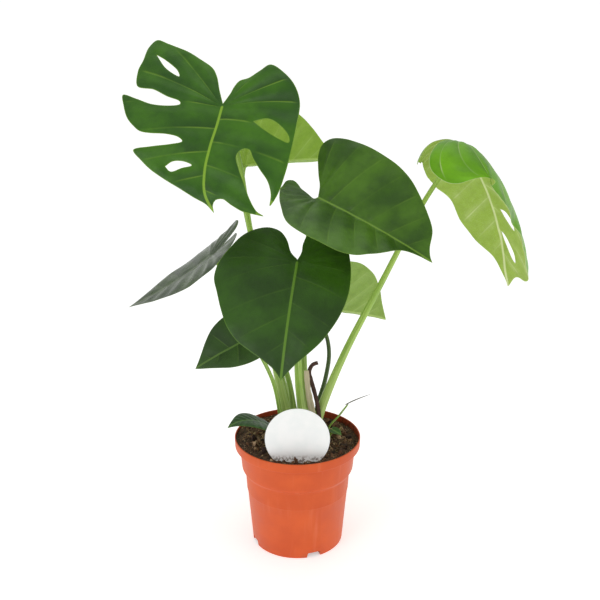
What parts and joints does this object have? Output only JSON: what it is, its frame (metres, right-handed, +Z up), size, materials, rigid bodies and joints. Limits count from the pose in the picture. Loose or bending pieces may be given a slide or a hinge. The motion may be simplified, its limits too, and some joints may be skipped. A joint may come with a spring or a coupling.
{
  "type": "potted monstera plant",
  "caption": "Young monstera houseplant with heart-shaped and split leaves on long stalks, in soil in a tapered plastic nursery pot with a round blank care label.",
  "frame": {"origin": "centre of the pot's foot, on the plane it stands on", "axes": "+Z up along the pot's axis; -Y is the side with the care label; +X is to the right as the label is read"},
  "size_m": [0.5241, 0.4082, 0.668],
  "materials": {
    "pot": "terracotta-coloured moulded plastic, satin",
    "soil": "damp potting mix of peat, coir and bark",
    "plant_label": "smooth printed sheet with a plain wreath of leaf shapes",
    "leaf_blade": "waxy upper face, paler matt underside",
    "leaf_stalk": "smooth, slightly waxy",
    "pale_dry_sheath": "dry and papery, beige",
    "brown_dry_sheath": "dry and papery, dark brown"
  },
  "bodies": {
    "root": {"pot": "pot", "soil": "soil", "plant_label": "plant_label", "split_leaf_upper_left": "leaf_blade", "split_leaf_upper_left_stalk": "leaf_stalk", "heart_leaf_centre_right": "leaf_blade", "heart_leaf_centre_right_stalk": "leaf_stalk", "heart_leaf_centre_front": "leaf_blade", "heart_leaf_centre_front_stalk": "leaf_stalk", "edge_on_leaf_left": "leaf_blade", "edge_on_leaf_left_stalk": "leaf_stalk", "low_leaf_left": "leaf_blade", "low_leaf_left_stalk": "leaf_stalk", "back_leaf_upper": "leaf_blade", "back_leaf_upper_stalk": "leaf_stalk", "back_leaf_lower": "leaf_blade", "back_leaf_lower_stalk": "leaf_stalk", "drooping_leaf_right": "leaf_blade", "drooping_leaf_right_stalk": "leaf_stalk", "small_leaf_over_rim": "leaf_blade", "small_leaf_over_rim_stalk": "leaf_stalk", "young_leaf_right": "leaf_blade", "young_leaf_right_stalk": "leaf_stalk", "tiny_leaf_by_label": "leaf_blade", "tiny_leaf_by_label_stalk": "leaf_stalk", "pale_dry_sheath": "pale_dry_sheath", "brown_dry_sheath": "brown_dry_sheath"}
  },
  "joints": []
}
